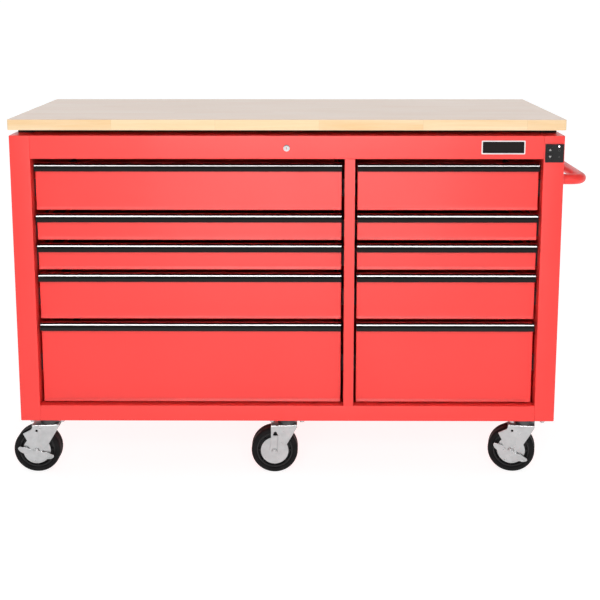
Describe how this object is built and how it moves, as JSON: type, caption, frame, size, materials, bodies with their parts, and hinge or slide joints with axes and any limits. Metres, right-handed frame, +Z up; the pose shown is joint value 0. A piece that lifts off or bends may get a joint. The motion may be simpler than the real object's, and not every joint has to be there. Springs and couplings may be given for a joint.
{
  "type": "rolling tool chest",
  "caption": "Wide steel tool chest on swivel casters, with two banks of drawers, a side push handle and a wood worktop that rises on electric columns.",
  "frame": {"origin": "on the floor under the middle of the chest's overall box, handle and trailing wheels included", "axes": "+Z up, +X to the right as seen by a person at the drawers, +Y to the back"},
  "size_m": [1.561, 0.6, 0.985],
  "materials": {
    "red_paint": "gloss",
    "dark_metal": "satin",
    "zinc_steel": "satin",
    "chrome": "polished",
    "oiled_wood": "satin",
    "rubber": "matte",
    "black_plastic": "matte",
    "black_pull": "gloss"
  },
  "bodies": {
    "cabinet": {"outer_panels": "red_paint", "decks": "red_paint", "front_rails": "red_paint", "inner_walls": "red_paint", "slide_rails": "zinc_steel", "lift_drive": "dark_metal", "caster_plates": "zinc_steel", "push_handle": "red_paint", "control_panel": "black_plastic", "lock_housing": "chrome"},
    "worktop": {"wood_top": "oiled_wood", "lift_frame": "dark_metal"},
    "lock_plug": {"lock_plug": "chrome"},
    "lock_bar": {"lock_bar": "zinc_steel"},
    "key_up": {"key_up": "black_plastic"},
    "key_down": {"key_down": "black_plastic"},
    "drawer_l1": {"drawer_l1": "red_paint", "pull_l1": "black_pull"},
    "slide_mid_l1": {"slide_mid_l1": "zinc_steel"},
    "drawer_l2": {"drawer_l2": "red_paint", "pull_l2": "black_pull"},
    "slide_mid_l2": {"slide_mid_l2": "zinc_steel"},
    "drawer_l3": {"drawer_l3": "red_paint", "pull_l3": "black_pull"},
    "slide_mid_l3": {"slide_mid_l3": "zinc_steel"},
    "drawer_l4": {"drawer_l4": "red_paint", "pull_l4": "black_pull"},
    "slide_mid_l4": {"slide_mid_l4": "zinc_steel"},
    "drawer_l5": {"drawer_l5": "red_paint", "pull_l5": "black_pull"},
    "slide_mid_l5": {"slide_mid_l5": "zinc_steel"},
    "drawer_r1": {"drawer_r1": "red_paint", "pull_r1": "black_pull"},
    "slide_mid_r1": {"slide_mid_r1": "zinc_steel"},
    "drawer_r2": {"drawer_r2": "red_paint", "pull_r2": "black_pull"},
    "slide_mid_r2": {"slide_mid_r2": "zinc_steel"},
    "drawer_r3": {"drawer_r3": "red_paint", "pull_r3": "black_pull"},
    "slide_mid_r3": {"slide_mid_r3": "zinc_steel"},
    "drawer_r4": {"drawer_r4": "red_paint", "pull_r4": "black_pull"},
    "slide_mid_r4": {"slide_mid_r4": "zinc_steel"},
    "drawer_r5": {"drawer_r5": "red_paint", "pull_r5": "black_pull"},
    "slide_mid_r5": {"slide_mid_r5": "zinc_steel"},
    "fork_fl": {"fork_fl": "zinc_steel"},
    "wheel_fl": {"wheel_fl": "rubber"},
    "brake_fl": {"brake_fl": "zinc_steel"},
    "fork_fm": {"fork_fm": "zinc_steel"},
    "wheel_fm": {"wheel_fm": "rubber"},
    "fork_fr": {"fork_fr": "zinc_steel"},
    "wheel_fr": {"wheel_fr": "rubber"},
    "brake_fr": {"brake_fr": "zinc_steel"},
    "fork_rl": {"fork_rl": "zinc_steel"},
    "wheel_rl": {"wheel_rl": "rubber"},
    "fork_rm": {"fork_rm": "zinc_steel"},
    "wheel_rm": {"wheel_rm": "rubber"},
    "fork_rr": {"fork_rr": "zinc_steel"},
    "wheel_rr": {"wheel_rr": "rubber"}
  },
  "joints": [
    {"name": "worktop_lift", "type": "slide", "parent": "cabinet", "child": "worktop", "axis": [0, 0, 1], "range_m": [0, 0.28]},
    {"name": "lock_turn", "type": "hinge", "parent": "cabinet", "child": "lock_plug", "pos_m": [-0.0245, -0.294, 0.91], "axis": [0, 1, 0], "range_deg": [0, 90]},
    {"name": "lock_bar_rise", "type": "slide", "parent": "cabinet", "child": "lock_bar", "axis": [0, 0, 1], "range_m": [0, 0.012]},
    {"name": "key_up_press", "type": "slide", "parent": "cabinet", "child": "key_up", "axis": [0, 1, 0], "range_m": [0, 0.001], "stiffness_N_per_m": 400},
    {"name": "key_down_press", "type": "slide", "parent": "cabinet", "child": "key_down", "axis": [0, 1, 0], "range_m": [0, 0.001], "stiffness_N_per_m": 400},
    {"name": "drawer_l1_slide", "type": "slide", "parent": "cabinet", "child": "drawer_l1", "axis": [0, -1, 0], "range_m": [0, 0.46]},
    {"name": "slide_mid_l1_run", "type": "slide", "parent": "cabinet", "child": "slide_mid_l1", "axis": [0, -1, 0], "range_m": [0, 0.23]},
    {"name": "drawer_l2_slide", "type": "slide", "parent": "cabinet", "child": "drawer_l2", "axis": [0, -1, 0], "range_m": [0, 0.46]},
    {"name": "slide_mid_l2_run", "type": "slide", "parent": "cabinet", "child": "slide_mid_l2", "axis": [0, -1, 0], "range_m": [0, 0.23]},
    {"name": "drawer_l3_slide", "type": "slide", "parent": "cabinet", "child": "drawer_l3", "axis": [0, -1, 0], "range_m": [0, 0.46]},
    {"name": "slide_mid_l3_run", "type": "slide", "parent": "cabinet", "child": "slide_mid_l3", "axis": [0, -1, 0], "range_m": [0, 0.23]},
    {"name": "drawer_l4_slide", "type": "slide", "parent": "cabinet", "child": "drawer_l4", "axis": [0, -1, 0], "range_m": [0, 0.46]},
    {"name": "slide_mid_l4_run", "type": "slide", "parent": "cabinet", "child": "slide_mid_l4", "axis": [0, -1, 0], "range_m": [0, 0.23]},
    {"name": "drawer_l5_slide", "type": "slide", "parent": "cabinet", "child": "drawer_l5", "axis": [0, -1, 0], "range_m": [0, 0.46]},
    {"name": "slide_mid_l5_run", "type": "slide", "parent": "cabinet", "child": "slide_mid_l5", "axis": [0, -1, 0], "range_m": [0, 0.23]},
    {"name": "drawer_r1_slide", "type": "slide", "parent": "cabinet", "child": "drawer_r1", "axis": [0, -1, 0], "range_m": [0, 0.46]},
    {"name": "slide_mid_r1_run", "type": "slide", "parent": "cabinet", "child": "slide_mid_r1", "axis": [0, -1, 0], "range_m": [0, 0.23]},
    {"name": "drawer_r2_slide", "type": "slide", "parent": "cabinet", "child": "drawer_r2", "axis": [0, -1, 0], "range_m": [0, 0.46]},
    {"name": "slide_mid_r2_run", "type": "slide", "parent": "cabinet", "child": "slide_mid_r2", "axis": [0, -1, 0], "range_m": [0, 0.23]},
    {"name": "drawer_r3_slide", "type": "slide", "parent": "cabinet", "child": "drawer_r3", "axis": [0, -1, 0], "range_m": [0, 0.46]},
    {"name": "slide_mid_r3_run", "type": "slide", "parent": "cabinet", "child": "slide_mid_r3", "axis": [0, -1, 0], "range_m": [0, 0.23]},
    {"name": "drawer_r4_slide", "type": "slide", "parent": "cabinet", "child": "drawer_r4", "axis": [0, -1, 0], "range_m": [0, 0.46]},
    {"name": "slide_mid_r4_run", "type": "slide", "parent": "cabinet", "child": "slide_mid_r4", "axis": [0, -1, 0], "range_m": [0, 0.23]},
    {"name": "drawer_r5_slide", "type": "slide", "parent": "cabinet", "child": "drawer_r5", "axis": [0, -1, 0], "range_m": [0, 0.46]},
    {"name": "slide_mid_r5_run", "type": "slide", "parent": "cabinet", "child": "slide_mid_r5", "axis": [0, -1, 0], "range_m": [0, 0.23]},
    {"name": "swivel_fl", "type": "hinge", "parent": "cabinet", "child": "fork_fl", "pos_m": [-0.6815, -0.24, 0.154], "axis": [0, 0, 1], "continuous": true},
    {"name": "roll_fl", "type": "hinge", "parent": "fork_fl", "child": "wheel_fl", "pos_m": [-0.7165, -0.24, 0.064], "axis": [0, 1, 0], "continuous": true},
    {"name": "brake_fl_step", "type": "hinge", "parent": "fork_fl", "child": "brake_fl", "pos_m": [-0.7165, -0.24, 0.064], "axis": [0, -1, 0], "range_deg": [0, 22]},
    {"name": "swivel_fm", "type": "hinge", "parent": "cabinet", "child": "fork_fm", "pos_m": [-0.0245, -0.24, 0.154], "axis": [0, 0, 1], "continuous": true},
    {"name": "roll_fm", "type": "hinge", "parent": "fork_fm", "child": "wheel_fm", "pos_m": [-0.0595, -0.24, 0.064], "axis": [0, 1, 0], "continuous": true},
    {"name": "swivel_fr", "type": "hinge", "parent": "cabinet", "child": "fork_fr", "pos_m": [0.6325, -0.24, 0.154], "axis": [0, 0, 1], "continuous": true},
    {"name": "roll_fr", "type": "hinge", "parent": "fork_fr", "child": "wheel_fr", "pos_m": [0.59827, -0.23272, 0.064], "axis": [0.2079, 0.9781, 0], "continuous": true},
    {"name": "brake_fr_step", "type": "hinge", "parent": "fork_fr", "child": "brake_fr", "pos_m": [0.59827, -0.23272, 0.064], "axis": [-0.2079, -0.9781, 0], "range_deg": [0, 22]},
    {"name": "swivel_rl", "type": "hinge", "parent": "cabinet", "child": "fork_rl", "pos_m": [-0.6815, 0.24, 0.154], "axis": [0, 0, 1], "continuous": true},
    {"name": "roll_rl", "type": "hinge", "parent": "fork_rl", "child": "wheel_rl", "pos_m": [-0.7165, 0.24, 0.064], "axis": [0, 1, 0], "continuous": true},
    {"name": "swivel_rm", "type": "hinge", "parent": "cabinet", "child": "fork_rm", "pos_m": [-0.0245, 0.24, 0.154], "axis": [0, 0, 1], "continuous": true},
    {"name": "roll_rm", "type": "hinge", "parent": "fork_rm", "child": "wheel_rm", "pos_m": [-0.0595, 0.24, 0.064], "axis": [0, 1, 0], "continuous": true},
    {"name": "swivel_rr", "type": "hinge", "parent": "cabinet", "child": "fork_rr", "pos_m": [0.6325, 0.24, 0.154], "axis": [0, 0, 1], "continuous": true},
    {"name": "roll_rr", "type": "hinge", "parent": "fork_rr", "child": "wheel_rr", "pos_m": [0.5975, 0.24, 0.064], "axis": [0, 1, 0], "continuous": true}
  ],
  "couplings": [
    {"joint": "lock_turn", "follows": "lock_bar_rise", "rad_per_m": 130.9},
    {"joint": "slide_mid_l1_run", "follows": "drawer_l1_slide", "ratio": 0.5},
    {"joint": "slide_mid_l2_run", "follows": "drawer_l2_slide", "ratio": 0.5},
    {"joint": "slide_mid_l3_run", "follows": "drawer_l3_slide", "ratio": 0.5},
    {"joint": "slide_mid_l4_run", "follows": "drawer_l4_slide", "ratio": 0.5},
    {"joint": "slide_mid_l5_run", "follows": "drawer_l5_slide", "ratio": 0.5},
    {"joint": "slide_mid_r1_run", "follows": "drawer_r1_slide", "ratio": 0.5},
    {"joint": "slide_mid_r2_run", "follows": "drawer_r2_slide", "ratio": 0.5},
    {"joint": "slide_mid_r3_run", "follows": "drawer_r3_slide", "ratio": 0.5},
    {"joint": "slide_mid_r4_run", "follows": "drawer_r4_slide", "ratio": 0.5},
    {"joint": "slide_mid_r5_run", "follows": "drawer_r5_slide", "ratio": 0.5}
  ]
}
